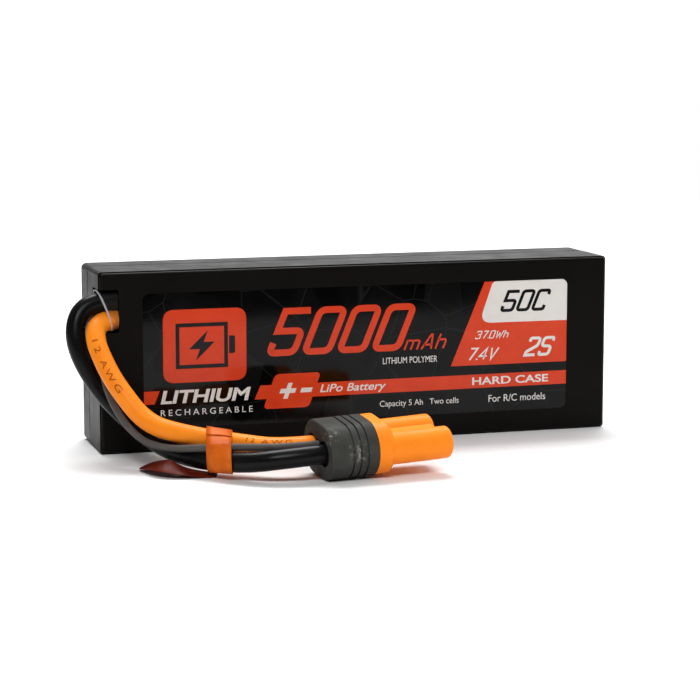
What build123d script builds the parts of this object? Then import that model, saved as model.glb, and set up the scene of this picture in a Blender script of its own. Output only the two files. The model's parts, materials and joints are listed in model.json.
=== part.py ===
"""Two-cell lithium battery pack in a hard case, for a radio-controlled model.

The pack stands on its long narrow side. +X runs along the case, -Y points out of the label face and
+Z is up. Everything is in millimetres, and the origin is the middle of the case's underside.

Two power leads and a thin data lead leave a notch at the label face's upper left corner. They droop
to a plug with two round sockets, which rests on the ground in front of the pack.
"""
import math
import os

from build123d import *

# ---- Case ----
CASE_LENGTH = 139.0
CASE_DEPTH = 25.0
CASE_HEIGHT = 47.0
WALL = 1.5
FRONT_CORNER = 1.0
REAR_CORNER = 1.4
FACE_BEVEL = 0.65
BACK_BEVEL = 0.9

LEFT = -CASE_LENGTH / 2
RIGHT = CASE_LENGTH / 2
FRONT = -CASE_DEPTH / 2
BACK = CASE_DEPTH / 2

# The two shells meet at SEAM_Y. A shallow groove runs round the case just in front of the seam, and
# a smaller step runs round it just behind the label face.
SEAM_Y = 3.2
GROOVE_WIDTH = 0.6
GROOVE_DEPTH = 0.4
STEP_BEHIND_FACE = 0.9
STEP_DEPTH = 0.3
LIP_LENGTH = 1.2
LIP_THICKNESS = 0.65
LIP_CLEARANCE = 0.1

# ---- Labels, each in a shallow recess ----
LABEL_HALF_LENGTH = 58.2
LABEL_BOTTOM = 6.0
LABEL_TOP = 41.2
LABEL_CORNER = 1.8
LABEL_RECESS = 0.25
LABEL_THICKNESS = 0.15
REAR_LABEL_HALF_LENGTH = 46.0
REAR_LABEL_BOTTOM = 11.0
REAR_LABEL_TOP = 36.0

# ---- Notch for the leads ----
NOTCH_RIGHT = -64.3
NOTCH_BACK = -4.3
NOTCH_BOTTOM = 31.4
NOTCH_TOP = 42.5
NOTCH_CORNER = 0.5
HOLE_CLEARANCE = 0.1
HOLE_EXTRA = 0.2
HOLE_LEAD_IN = 2.0
STUB_HOLE_DEPTH = 3.4

# ---- Cells and what packs them ----
CELL_LEFT = -53.5
CELL_RIGHT = 66.5
CELL_BOTTOM = 2.3
CELL_TOP = 44.7
CELL_EDGE = 2.2
CELL_OUTER_Y = 10.4
SPACER_HALF = 0.3
CELL_SEAL_LEFT = -57.0
CELL_SEAL_THICKNESS = 0.5
SPACER_BOTTOM = 6.0
SPACER_TOP = 41.0
PAD_LEFT = -50.0
PAD_RIGHT = 61.5
SIDE_PAD_BOTTOM = 8.0
SIDE_PAD_TOP = 39.0
EDGE_PAD_HALF = 7.5
TOP_PAD_LEFT = -46.0
END_PAD_HALF = 9.0

# ---- Tabs and tab board ----
TAB_Y = 7.5
TAB_THICKNESS = 0.3
TAB_HEIGHT = 7.0
POSITIVE_TAB_BOTTOM = 18.0
NEGATIVE_TAB_BOTTOM = 21.0
SERIES_TAB_BOTTOM = 7.0
LINK_LEFT = -64.0
LINK_RIGHT = -62.0
LINK_BOTTOM = 9.0
LINK_TOP = 12.0
BOARD_LEFT = -66.5
BOARD_RIGHT = -65.5
BOARD_HALF_WIDTH = 9.5
BOARD_BOTTOM = 5.0
BOARD_TOP = 29.3
CHIP_SIZE = 5.0
CHIP_HEIGHT = 0.9
CHIP_BOTTOM = 15.0
CHIP_CHAMFER = 0.2
CAPACITOR_ROW = (-3.0, 0.0, 3.0)
CAPACITOR_BOTTOM = 23.0
CAPACITOR_LENGTH = 2.0
CAPACITOR_WIDTH = 1.2
CAPACITOR_HEIGHT = 0.8
RIBBON_THICKNESS = 0.5
RIBBON_Y = -5.0
RIBBON_HALF_WIDTH = 0.8
SOLDER_RADIUS = 2.2
SOLDER_HEIGHT = 1.5

# ---- Temperature sensor on the cells ----
SENSOR_CENTRE_X = -51.9
SENSOR_LENGTH = 3.0
SENSOR_WIDTH = 2.2
SENSOR_HEIGHT = 0.8
SENSOR_BOTTOM = 44.6
SENSOR_LEAD_RADIUS = 0.35
SENSOR_LEAD_BEND = 1.0
SENSOR_LEAD_TOP = 45.0
SENSOR_LEAD_DROP_X = -55.6
SENSOR_LEAD_FOOT = 26.0

# ---- Leads ----
POWER_RADIUS = 2.5
DATA_RADIUS = 0.9
ARC_SHARE = 0.45
STUB_BEND = 3.0
POSITIVE_EXIT = (NOTCH_RIGHT, -9.4, 34.4)
NEGATIVE_EXIT = (NOTCH_RIGHT, -9.4, 39.5)
DATA_EXIT = (NOTCH_RIGHT, -6.3, 36.95)
STUB_REACH = 4.8
STUB_RADIUS = 1.6
DATA_STUB_RADIUS = 0.5

# ---- Sleeve round the leads; its far end is cut off at a slant ----
SLEEVE_START = -64.5
SLEEVE_END = -72.5
SLEEVE_WALL = 0.3
SLEEVE_CLEARANCE = 0.15
SLEEVE_RIM = (-67.4, -12.4, 35.6)
SLEEVE_RIM_FACING = (1.0, 0.15, 0.33)

# ---- Plug: where the middle of its back face is, and how it lies ----
PLUG_BACK = (-24.4, -56.4, 7.07)
PLUG_YAW = 6.0
PLUG_PITCH = 2.2
PLUG_ROLL = 6.3

BOOT_WIDTH = 19.0
BOOT_THICKNESS = 13.6
BOOT_LENGTH = 12.4
BOOT_EDGE = 0.5
BOOT_GROOVES = (5.4, 7.3, 9.2)
BOOT_GROOVE_WIDTH = 0.5
BOOT_GROOVE_DEPTH = 0.4
LEAD_SPACING = 7.5
LEAD_HOLE_RADIUS = 3.2
DATA_HOLE_RADIUS = 1.3
DATA_OFFSET = 1.5
RECESS_DEPTH = 3.0
RUN_IN = 8.0

FLANGE_WIDTH = 19.6
FLANGE_THICKNESS = 12.9
FLANGE_END = 16.8
FLANGE_CHAMFER = 1.0
KEY_START = 14.8
KEY_DEPTH = 0.4
KEY_WIDTH = 8.0
KEY_UP = 5.6
CORE_WIDTH = 16.4
CORE_THICKNESS = 8.2
CORE_START = 4.0
OVERLAP = 1.2

BARREL_END = 32.3
BARREL_RADIUS = 4.0
BARREL_SPACING = 11.0
BARREL_EDGE = 0.9
WEB_THICKNESS = 5.0
WEB_SETBACK = 1.2
MOUTH_RADIUS = 2.8
MOUTH_DEPTH = 0.8

SOCKET_START = 12.7
SOCKET_FLOOR = 14.2
SOCKET_RADIUS = 3.1
SOCKET_BORE = 2.5
CONTACT_RADIUS = 0.6
CONTACT_WELL_RADIUS = 1.2
CONTACT_WELL_DEPTH = 9.0
CONTACT_START = 14.0
CONTACT_TAIL_RADIUS = 0.4
CUP_OFFSET = 4.6
CUP_RADIUS = 1.9
CUP_START = 5.5
STRAND_OFFSET = 4.3
STRAND_RADIUS = 1.5
CONTACT_SETBACK = 1.0

# ---- Flag: a strip of film folded round the leads, with one loose end ----
FLAG_CENTRE = (-44.9, -47.6, 6.3)
FLAG_HEADING = -40.0
FLAG_TILT = 17.0
FLAG_LENGTH = 16.2
FLAG_HEIGHT = 8.9
FLAG_WIDTH = 5.4
FLAG_THICKNESS = 0.25
TAIL_START = (-48.3, -49.0, 0.9)
TAIL_MIDDLE_HEIGHT = 1.0
TAIL_TIP = (-62.8, -32.2, 1.7)


def vector_sum(*parts):
    total = Vector(0, 0, 0)
    for part in parts:
        total = total + part
    return total


def plug_axes():
    """Unit vectors of the plug: out of its sockets, across towards the viewer, and up."""
    yaw = math.radians(PLUG_YAW)
    pitch = math.radians(PLUG_PITCH)
    roll = math.radians(PLUG_ROLL)
    ahead = Vector(math.cos(yaw) * math.cos(pitch), math.sin(yaw) * math.cos(pitch), math.sin(pitch))
    level = Vector(math.sin(yaw), -math.cos(yaw), 0)
    upright = level.cross(ahead)
    across = level * math.cos(roll) - upright * math.sin(roll)
    up = level * math.sin(roll) + upright * math.cos(roll)
    return ahead, across, up


AHEAD, ACROSS, UP = plug_axes()
PLUG = Plane(origin=PLUG_BACK, x_dir=ACROSS, z_dir=AHEAD)


def on_plug(across, up, along):
    """A point given from the middle of the plug's back face."""
    return vector_sum(Vector(*PLUG_BACK), ACROSS * across, UP * up, AHEAD * along)


POSITIVE_END = on_plug(-LEAD_SPACING / 2, 0, RECESS_DEPTH)
NEGATIVE_END = on_plug(LEAD_SPACING / 2, 0, RECESS_DEPTH)
DATA_END = on_plug(0, DATA_OFFSET, RECESS_DEPTH)

# Routes of the three leads, from the notch to the floor of the plug's recess.
POSITIVE_ROUTE = [
    POSITIVE_EXIT,
    (-69.6, -12.1, 34.8),
    (-71.7, -17.3, 30.8),
    (-69.6, -22.2, 24.2),
    (-67.6, -26.4, 19.8),
    (-61.8, -32.2, 11.3),
    (-53.5, -39.4, 9.2),
    (-41.5, -46.0, 7.6),
    on_plug(-LEAD_SPACING / 2, 0, -RUN_IN),
    POSITIVE_END,
]
NEGATIVE_ROUTE = [
    NEGATIVE_EXIT,
    (-70.4, -9.8, 39.5),
    (-75.2, -11.0, 35.9),
    (-75.8, -13.2, 28.0),
    (-69.8, -14.8, 16.8),
    (-60.9, -23.8, 7.2),
    (-54.6, -37.6, 3.7),
    (-43.8, -55.2, 4.4),
    on_plug(LEAD_SPACING / 2, 0, -RUN_IN),
    NEGATIVE_END,
]
DATA_ROUTE = [
    DATA_EXIT,
    (-69.4, -6.3, 36.95),
    (-72.1, -9.8, 31.6),
    (-70.2, -15.7, 25.4),
    (-68.7, -22.4, 15.1),
    (-63.7, -30.6, 7.1),
    (-57.9, -39.7, 6.0),
    (-51.5, -46.8, 7.3),
    (-43.7, -52.0, 8.0),
    on_plug(0, DATA_OFFSET, -RUN_IN),
    DATA_END,
]


def block(x0, x1, y0, y1, z0, z1):
    middle = Pos((x0 + x1) / 2, (y0 + y1) / 2, (z0 + z1) / 2)
    return middle * Box(x1 - x0, y1 - y0, z1 - z0)


def rounded_block(x0, x1, y0, y1, z0, z1, radius):
    """A block whose outline, seen along Y, has rounded corners."""
    body = block(x0, x1, y0, y1, z0, z1)
    return fillet(body.edges().filter_by(Axis.Y), radius)


def case_slab(y0, y1, inset, corner):
    """The case's outline between two depths, drawn in by an inset."""
    return rounded_block(LEFT + inset, RIGHT - inset, y0, y1, inset, CASE_HEIGHT - inset, corner)


def rod(start, end, radius):
    start = Vector(*start)
    reach = Vector(*end) - start
    plane = Plane(origin=start, z_dir=reach)
    return plane * Cylinder(radius, reach.length, align=(Align.CENTER, Align.CENTER, Align.MIN))


def plug_slot(width, thickness, start, end):
    """A straight piece of the plug with a rounded-end section."""
    profile = SlotOverall(width, thickness)
    return PLUG * (Pos(0, 0, start) * extrude(profile, end - start))


def plug_rod(across, up, start, end, radius):
    return rod(on_plug(across, up, start), on_plug(across, up, end), radius)


# ---------------------------------------------------------------- case
def lead_holes():
    """Holes for the three leads and their stubs through the notch's end wall, each along its lead."""
    holes = []
    for route, radius, stub_radius in (
        (POSITIVE_ROUTE, POWER_RADIUS, STUB_RADIUS),
        (NEGATIVE_ROUTE, POWER_RADIUS, STUB_RADIUS),
        (DATA_ROUTE, DATA_RADIUS, DATA_STUB_RADIUS),
    ):
        start = Vector(*route[0])
        inward = (start - Vector(*route[1])).normalized()
        depth = WALL + HOLE_EXTRA
        mouth = start - inward * HOLE_LEAD_IN
        holes.append(rod(mouth, start + inward * depth, radius + HOLE_CLEARANCE))
        holes.append(rod(start, start + inward * STUB_HOLE_DEPTH, stub_radius + HOLE_CLEARANCE))
    return holes


def make_front_shell():
    face_plate = case_slab(FRONT, FRONT + STEP_BEHIND_FACE, STEP_DEPTH, FRONT_CORNER)
    face_plate = fillet(face_plate.faces().sort_by(Axis.Y)[0].edges(), FACE_BEVEL)
    body = case_slab(FRONT + STEP_BEHIND_FACE, SEAM_Y - GROOVE_WIDTH, 0, FRONT_CORNER)
    neck = case_slab(SEAM_Y - GROOVE_WIDTH, SEAM_Y, GROOVE_DEPTH, FRONT_CORNER)
    shell = face_plate + body + neck

    shell -= block(LEFT + WALL, RIGHT - WALL, FRONT + WALL, SEAM_Y, WALL, CASE_HEIGHT - WALL)
    lip_outer = WALL - LIP_THICKNESS - LIP_CLEARANCE
    shell -= case_slab(SEAM_Y - LIP_LENGTH - LIP_CLEARANCE, SEAM_Y, lip_outer, FRONT_CORNER)

    shell += block(
        LEFT + WALL / 2, NOTCH_RIGHT + WALL, FRONT + WALL / 2, NOTCH_BACK + WALL,
        NOTCH_BOTTOM - WALL, NOTCH_TOP + WALL,
    )
    notch = block(LEFT - 5, NOTCH_RIGHT, FRONT - 5, NOTCH_BACK, NOTCH_BOTTOM, NOTCH_TOP)
    notch_corners = notch.edges().filter_by(Axis.Y).group_by(Axis.X)[-1]
    shell -= fillet(notch_corners, NOTCH_CORNER)
    for hole in lead_holes():
        shell -= hole

    shell -= rounded_block(
        -LABEL_HALF_LENGTH, LABEL_HALF_LENGTH, FRONT - 1, FRONT + LABEL_RECESS,
        LABEL_BOTTOM, LABEL_TOP, LABEL_CORNER,
    )
    return shell


def make_rear_shell():
    shell = case_slab(SEAM_Y, BACK, 0, REAR_CORNER)
    shell = fillet(shell.faces().sort_by(Axis.Y)[-1].edges(), BACK_BEVEL)
    shell -= block(LEFT + WALL, RIGHT - WALL, SEAM_Y, BACK - WALL, WALL, CASE_HEIGHT - WALL)
    lip_outer = WALL - LIP_THICKNESS
    lip = case_slab(SEAM_Y - LIP_LENGTH, SEAM_Y, lip_outer, FRONT_CORNER)
    lip -= block(LEFT + WALL, RIGHT - WALL, SEAM_Y - 5, SEAM_Y + 1, WALL, CASE_HEIGHT - WALL)
    shell += lip
    shell -= rounded_block(
        -REAR_LABEL_HALF_LENGTH, REAR_LABEL_HALF_LENGTH, BACK - LABEL_RECESS, BACK + 1,
        REAR_LABEL_BOTTOM, REAR_LABEL_TOP, LABEL_CORNER,
    )
    return shell


def make_front_label():
    back = FRONT + LABEL_RECESS
    return rounded_block(
        -LABEL_HALF_LENGTH, LABEL_HALF_LENGTH, back - LABEL_THICKNESS, back,
        LABEL_BOTTOM, LABEL_TOP, LABEL_CORNER,
    )


def make_rear_label():
    front = BACK - LABEL_RECESS
    return rounded_block(
        -REAR_LABEL_HALF_LENGTH, REAR_LABEL_HALF_LENGTH, front, front + LABEL_THICKNESS,
        REAR_LABEL_BOTTOM, REAR_LABEL_TOP, LABEL_CORNER,
    )


# ---------------------------------------------------------------- cells
def make_cell(side):
    """A pouch cell with its sealed edge; side is -1 for the front cell and 1 for the rear one."""
    near = side * SPACER_HALF
    far = side * CELL_OUTER_Y
    y0 = min(near, far)
    y1 = max(near, far)
    pouch = block(CELL_LEFT, CELL_RIGHT, y0, y1, CELL_BOTTOM, CELL_TOP)
    pouch = fillet(pouch.edges().filter_by(Axis.X), CELL_EDGE)
    seal_y = side * TAB_Y
    seal = block(
        CELL_SEAL_LEFT, CELL_LEFT, seal_y - CELL_SEAL_THICKNESS / 2, seal_y + CELL_SEAL_THICKNESS / 2,
        CELL_BOTTOM + CELL_EDGE, CELL_TOP - CELL_EDGE,
    )
    return pouch + seal


def make_tab(side, bottom):
    """A flat terminal from a cell's sealed edge to the board."""
    y = side * TAB_Y
    return block(
        BOARD_RIGHT, CELL_SEAL_LEFT, y - TAB_THICKNESS / 2, y + TAB_THICKNESS / 2,
        bottom, bottom + TAB_HEIGHT,
    )


def make_series_link():
    reach = TAB_Y - TAB_THICKNESS / 2
    return block(LINK_LEFT, LINK_RIGHT, -reach, reach, LINK_BOTTOM, LINK_TOP)


def make_cell_spacer():
    return block(PAD_LEFT, PAD_RIGHT, -SPACER_HALF, SPACER_HALF, SPACER_BOTTOM, SPACER_TOP)


def make_side_pad(side):
    y0 = min(side * CELL_OUTER_Y, side * (BACK - WALL))
    y1 = max(side * CELL_OUTER_Y, side * (BACK - WALL))
    return block(PAD_LEFT, PAD_RIGHT, y0, y1, SIDE_PAD_BOTTOM, SIDE_PAD_TOP)


def make_base_pad():
    return block(PAD_LEFT, PAD_RIGHT, -EDGE_PAD_HALF, EDGE_PAD_HALF, WALL, CELL_BOTTOM)


def make_top_pad():
    return block(
        TOP_PAD_LEFT, PAD_RIGHT, -EDGE_PAD_HALF, EDGE_PAD_HALF, CELL_TOP, CASE_HEIGHT - WALL,
    )


def make_end_pad():
    return block(
        CELL_RIGHT, RIGHT - WALL, -END_PAD_HALF, END_PAD_HALF, SPACER_BOTTOM, SPACER_TOP,
    )


# ---------------------------------------------------------------- board
def make_tab_board():
    return block(
        BOARD_LEFT, BOARD_RIGHT, -BOARD_HALF_WIDTH, BOARD_HALF_WIDTH, BOARD_BOTTOM, BOARD_TOP,
    )


def make_monitor_chip():
    half = CHIP_SIZE / 2
    chip = block(
        BOARD_LEFT - CHIP_HEIGHT, BOARD_LEFT, -half, half, CHIP_BOTTOM, CHIP_BOTTOM + CHIP_SIZE,
    )
    return chamfer(chip.faces().sort_by(Axis.X)[0].edges(), CHIP_CHAMFER)


def make_capacitors():
    """Three small capacitors in a row above the chip."""
    row = []
    top = CAPACITOR_BOTTOM + CAPACITOR_LENGTH
    for y in CAPACITOR_ROW:
        y0 = y - CAPACITOR_WIDTH / 2
        y1 = y + CAPACITOR_WIDTH / 2
        row.append(block(BOARD_LEFT - CAPACITOR_HEIGHT, BOARD_LEFT, y0, y1, CAPACITOR_BOTTOM, top))
    return Compound(children=row)


def make_data_ribbon():
    """A flat ribbon from the data lead, down the notch's wall and under it to the board."""
    inner = NOTCH_RIGHT + WALL
    y0 = RIBBON_Y - RIBBON_HALF_WIDTH
    y1 = RIBBON_Y + RIBBON_HALF_WIDTH
    down = block(inner, inner + RIBBON_THICKNESS, y0, y1, BOARD_TOP, DATA_EXIT[2] + 1)
    back = block(BOARD_LEFT, inner + RIBBON_THICKNESS, y0, y1, BOARD_TOP, BOARD_TOP + RIBBON_THICKNESS)
    return down + back


def tube_along(points, radii, radius):
    path = FilletPolyline(*points, radius=radii)
    section = Plane(origin=path @ 0, z_dir=path % 0) * Circle(radius)
    return sweep(section, path=path), path.length


def stub_turn(route):
    """Where a stub that carries on straight from its lead turns inside the case."""
    start = Vector(*route[0])
    inward = (start - Vector(*route[1])).normalized()
    return start + inward * STUB_REACH


def make_stub_positive():
    turn = stub_turn(POSITIVE_ROUTE)
    foot = POSITIVE_TAB_BOTTOM + TAB_HEIGHT + SOLDER_HEIGHT
    points = [POSITIVE_EXIT, turn, (turn.X, turn.Y, foot)]
    solid, _ = tube_along(points, STUB_BEND, STUB_RADIUS)
    return solid


def make_stub_negative():
    turn = stub_turn(NEGATIVE_ROUTE)
    foot = NEGATIVE_TAB_BOTTOM + TAB_HEIGHT + SOLDER_HEIGHT
    points = [NEGATIVE_EXIT, turn, (turn.X, TAB_Y, turn.Z), (turn.X, TAB_Y, foot)]
    solid, _ = tube_along(points, STUB_BEND, STUB_RADIUS)
    return solid


def make_stub_data():
    x, y, z = DATA_EXIT
    return rod((x, y, z), (x + WALL, y, z), DATA_STUB_RADIUS)


def make_solder(turn, y, tab_bottom):
    """The joint between a tab's top edge and the foot of a stub."""
    low = tab_bottom + TAB_HEIGHT
    return rod((turn.X, y, low), (turn.X, y, low + SOLDER_HEIGHT), SOLDER_RADIUS)


def make_sensor():
    half_length = SENSOR_LENGTH / 2
    half_width = SENSOR_WIDTH / 2
    return block(
        SENSOR_CENTRE_X - half_length, SENSOR_CENTRE_X + half_length, -half_width, half_width,
        SENSOR_BOTTOM, SENSOR_BOTTOM + SENSOR_HEIGHT,
    )


def make_sensor_lead():
    start_x = SENSOR_CENTRE_X - SENSOR_LENGTH / 2
    points = [
        (start_x, 0, SENSOR_LEAD_TOP),
        (SENSOR_LEAD_DROP_X, 0, SENSOR_LEAD_TOP),
        (SENSOR_LEAD_DROP_X, 0, SENSOR_LEAD_FOOT),
        (BOARD_RIGHT, 0, SENSOR_LEAD_FOOT),
    ]
    solid, _ = tube_along(points, SENSOR_LEAD_BEND, SENSOR_LEAD_RADIUS)
    return solid


# ---------------------------------------------------------------- leads
def bend_radii(points):
    """As large an arc at each corner as its two runs allow."""
    radii = []
    for before, corner, after in zip(points, points[1:], points[2:]):
        run_in = Vector(*corner) - Vector(*before)
        run_out = Vector(*after) - Vector(*corner)
        turn = math.radians(run_in.get_angle(run_out))
        shorter = min(run_in.length, run_out.length)
        radii.append(ARC_SHARE * shorter / math.tan(turn / 2))
    return radii


def make_lead(name, route, radius):
    points = [Vector(*point) for point in route]
    radii = bend_radii(points)
    solid, length = tube_along(points, radii, radius)
    expected = math.pi * radius**2 * length
    rounded = ", ".join(f"{value:.1f}" for value in radii)
    print(f"{name}: bend radii {rounded} mm, length {length:.1f} mm")
    print(f"{name}: volume over section times length {solid.volume / expected:.4f}")
    return solid


def point_at_x(route, x):
    """Where a lead's first run, carried on, meets a plane across the case."""
    start = Vector(*route[0])
    step = Vector(*route[1]) - start
    return start + step * ((x - start.X) / step.X)


def sleeve_section(x, clearance):
    """The outline of a band pulled tight round the three leads, a little outside them."""
    circles = Sketch()
    for route, radius in (
        (POSITIVE_ROUTE, POWER_RADIUS),
        (NEGATIVE_ROUTE, POWER_RADIUS),
        (DATA_ROUTE, DATA_RADIUS),
    ):
        middle = point_at_x(route, x)
        run = Vector(*route[1]) - Vector(*route[0])
        slant = radius * (run.length / abs(run.X) - 1)
        for shift in (-slant, slant):
            circles += Pos(middle.Y + shift, middle.Z) * Circle(radius + clearance)
    across_case = Plane(origin=(x, 0, 0), x_dir=(0, 1, 0), z_dir=(1, 0, 0))
    return across_case * make_hull(circles.edges())


def make_exit_sleeve():
    """Shrunk sleeve round the leads where they leave the notch."""
    outer_gap = SLEEVE_CLEARANCE + SLEEVE_WALL
    outer = loft([sleeve_section(x, outer_gap) for x in (SLEEVE_START, SLEEVE_END)])
    inner = loft([sleeve_section(x, SLEEVE_CLEARANCE) for x in (SLEEVE_START, SLEEVE_END)])
    rim = Plane(origin=SLEEVE_RIM, z_dir=SLEEVE_RIM_FACING)
    return split(outer - inner, bisect_by=rim, keep=Keep.TOP)


def make_flag():
    """Film folded round the three leads, with its loose end trailing to the left."""
    heading = math.radians(FLAG_HEADING)
    along = Vector(math.cos(heading), math.sin(heading), 0)
    side = Vector(-math.sin(heading), math.cos(heading), 0)
    tilt = math.radians(FLAG_TILT)
    wide = side * math.cos(tilt) + Vector(0, 0, math.sin(tilt))
    plane = Plane(origin=FLAG_CENTRE, x_dir=wide, z_dir=along)
    ring = SlotOverall(FLAG_LENGTH, FLAG_HEIGHT)
    gap = 2 * FLAG_THICKNESS
    ring -= SlotOverall(FLAG_LENGTH - gap, FLAG_HEIGHT - gap)
    wrap = plane * (Pos(0, 0, -FLAG_WIDTH / 2) * extrude(ring, FLAG_WIDTH))

    start = Vector(*TAIL_START)
    tip = Vector(*TAIL_TIP)
    middle = Vector((start.X + tip.X) / 2, (start.Y + tip.Y) / 2, TAIL_MIDDLE_HEIGHT)
    lift = Vector(0, 0, FLAG_THICKNESS)
    low_edge = ThreePointArc(start, middle, tip)
    high_edge = ThreePointArc(start + lift, middle + lift, tip + lift)
    near_end = Line(start, start + lift)
    far_end = Line(tip, tip + lift)
    strip = make_face(Curve() + [low_edge, high_edge, near_end, far_end])
    reach = tip - start
    sideways = Vector(reach.Y, -reach.X, 0).normalized()
    tail = extrude(strip, amount=FLAG_WIDTH / 2, dir=sideways, both=True)
    return wrap + tail


# ---------------------------------------------------------------- plug
def lead_recess(extra):
    """The holes in the boot's back face for the three leads."""
    recess = []
    for across in (-LEAD_SPACING / 2, LEAD_SPACING / 2):
        recess.append(plug_rod(across, 0, -extra, RECESS_DEPTH, LEAD_HOLE_RADIUS))
    recess.append(plug_rod(0, DATA_OFFSET, -extra, RECESS_DEPTH, DATA_HOLE_RADIUS))
    return recess


def make_boot():
    boot = plug_slot(BOOT_WIDTH, BOOT_THICKNESS, 0, BOOT_LENGTH)
    back_face = boot.faces().sort_by(Axis(PLUG_BACK, tuple(AHEAD)))[0]
    boot = fillet(back_face.edges(), BOOT_EDGE)
    for start in BOOT_GROOVES:
        end = start + BOOT_GROOVE_WIDTH
        cut = plug_slot(BOOT_WIDTH + 2, BOOT_THICKNESS + 2, start, end)
        inset = 2 * BOOT_GROOVE_DEPTH
        cut -= plug_slot(BOOT_WIDTH - inset, BOOT_THICKNESS - inset, start - 1, end + 1)
        boot -= cut
    for hole in lead_recess(1):
        boot -= hole
    boot -= plug_slot(CORE_WIDTH, CORE_THICKNESS, CORE_START, BOOT_LENGTH + 1)
    for solid in (make_strand(-1), make_strand(1), make_data_contact()):
        boot -= solid
    return boot


def make_housing():
    flange = plug_slot(FLANGE_WIDTH, FLANGE_THICKNESS, BOOT_LENGTH, FLANGE_END)
    front_face = flange.faces().sort_by(Axis(PLUG_BACK, tuple(AHEAD)))[-1]
    flange = chamfer(front_face.edges(), FLANGE_CHAMFER)
    key_place = Pos(FLANGE_WIDTH / 2, KEY_UP, (KEY_START + FLANGE_END + 1) / 2)
    flange -= PLUG * (key_place * Box(2 * KEY_DEPTH, KEY_WIDTH, FLANGE_END - KEY_START + 1))
    core = plug_slot(CORE_WIDTH, CORE_THICKNESS, CORE_START, BOOT_LENGTH)
    housing = core + flange
    for across in (-BARREL_SPACING / 2, BARREL_SPACING / 2):
        barrel = plug_rod(across, 0, FLANGE_END - OVERLAP, BARREL_END, BARREL_RADIUS)
        end_face = barrel.faces().sort_by(Axis(PLUG_BACK, tuple(AHEAD)))[-1]
        housing += fillet(end_face.edges(), BARREL_EDGE)
    web_start = FLANGE_END - OVERLAP
    web_end = BARREL_END - WEB_SETBACK
    web_place = Pos(0, 0, (web_start + web_end) / 2)
    housing += PLUG * (web_place * Box(BARREL_SPACING, WEB_THICKNESS, web_end - web_start))

    for across in (-BARREL_SPACING / 2, BARREL_SPACING / 2):
        housing -= plug_rod(across, 0, SOCKET_START, BARREL_END - MOUTH_DEPTH, SOCKET_RADIUS)
        housing -= plug_rod(across, 0, SOCKET_START, BARREL_END + 1, MOUTH_RADIUS)
    well_start = BARREL_END - CONTACT_WELL_DEPTH
    housing -= plug_rod(0, 0, well_start, BARREL_END + 1, CONTACT_WELL_RADIUS)
    housing -= make_data_contact()
    for sign in (-1, 1):
        housing -= make_strand(sign)
        housing -= plug_rod(sign * CUP_OFFSET, 0, CUP_START, SOCKET_START, CUP_RADIUS)
    return housing


def make_strand(sign):
    """The bare end of a power lead, from the lead's end to the cup of its socket."""
    return plug_rod(sign * STRAND_OFFSET, 0, RECESS_DEPTH, CUP_START, STRAND_RADIUS)


def make_socket(sign):
    """A socket with the cup that its lead is soldered into."""
    across = sign * BARREL_SPACING / 2
    end = BARREL_END - MOUTH_DEPTH
    socket = plug_rod(across, 0, SOCKET_START, end, SOCKET_RADIUS)
    socket -= plug_rod(across, 0, SOCKET_FLOOR, end + 1, SOCKET_BORE)
    return socket + plug_rod(sign * CUP_OFFSET, 0, CUP_START, SOCKET_START, CUP_RADIUS)


def make_data_contact():
    """The middle contact, with its tail back to the data lead."""
    pin = plug_rod(0, 0, CONTACT_START, BARREL_END - CONTACT_SETBACK, CONTACT_RADIUS)
    tail = plug_rod(0, DATA_OFFSET, RECESS_DEPTH, CONTACT_START + CONTACT_RADIUS, CONTACT_TAIL_RADIUS)
    riser_start = on_plug(0, 0, CONTACT_START + CONTACT_TAIL_RADIUS)
    riser_end = on_plug(0, DATA_OFFSET, CONTACT_START + CONTACT_TAIL_RADIUS)
    return pin + tail + rod(riser_start, riser_end, CONTACT_TAIL_RADIUS)


def make_parts():
    return {
        "front_shell": make_front_shell(),
        "rear_shell": make_rear_shell(),
        "front_label": make_front_label(),
        "rear_label": make_rear_label(),
        "cell_front": make_cell(-1),
        "cell_rear": make_cell(1),
        "cell_spacer": make_cell_spacer(),
        "pad_front": make_side_pad(-1),
        "pad_rear": make_side_pad(1),
        "pad_base": make_base_pad(),
        "pad_top": make_top_pad(),
        "pad_end": make_end_pad(),
        "tab_positive": make_tab(-1, POSITIVE_TAB_BOTTOM),
        "tab_negative": make_tab(1, NEGATIVE_TAB_BOTTOM),
        "tab_series_front": make_tab(-1, SERIES_TAB_BOTTOM),
        "tab_series_rear": make_tab(1, SERIES_TAB_BOTTOM),
        "series_link": make_series_link(),
        "tab_board": make_tab_board(),
        "monitor_chip": make_monitor_chip(),
        "board_capacitors": make_capacitors(),
        "data_ribbon": make_data_ribbon(),
        "stub_positive": make_stub_positive(),
        "stub_negative": make_stub_negative(),
        "stub_data": make_stub_data(),
        "solder_positive": make_solder(stub_turn(POSITIVE_ROUTE), -TAB_Y, POSITIVE_TAB_BOTTOM),
        "solder_negative": make_solder(stub_turn(NEGATIVE_ROUTE), TAB_Y, NEGATIVE_TAB_BOTTOM),
        "temperature_sensor": make_sensor(),
        "sensor_lead": make_sensor_lead(),
        "lead_positive": make_lead("lead_positive", POSITIVE_ROUTE, POWER_RADIUS),
        "lead_negative": make_lead("lead_negative", NEGATIVE_ROUTE, POWER_RADIUS),
        "lead_data": make_lead("lead_data", DATA_ROUTE, DATA_RADIUS),
        "exit_sleeve": make_exit_sleeve(),
        "cable_flag": make_flag(),
        "plug_boot": make_boot(),
        "plug_housing": make_housing(),
        "strand_positive": make_strand(-1),
        "strand_negative": make_strand(1),
        "socket_positive": make_socket(-1),
        "socket_negative": make_socket(1),
        "data_contact": make_data_contact(),
    }


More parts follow.
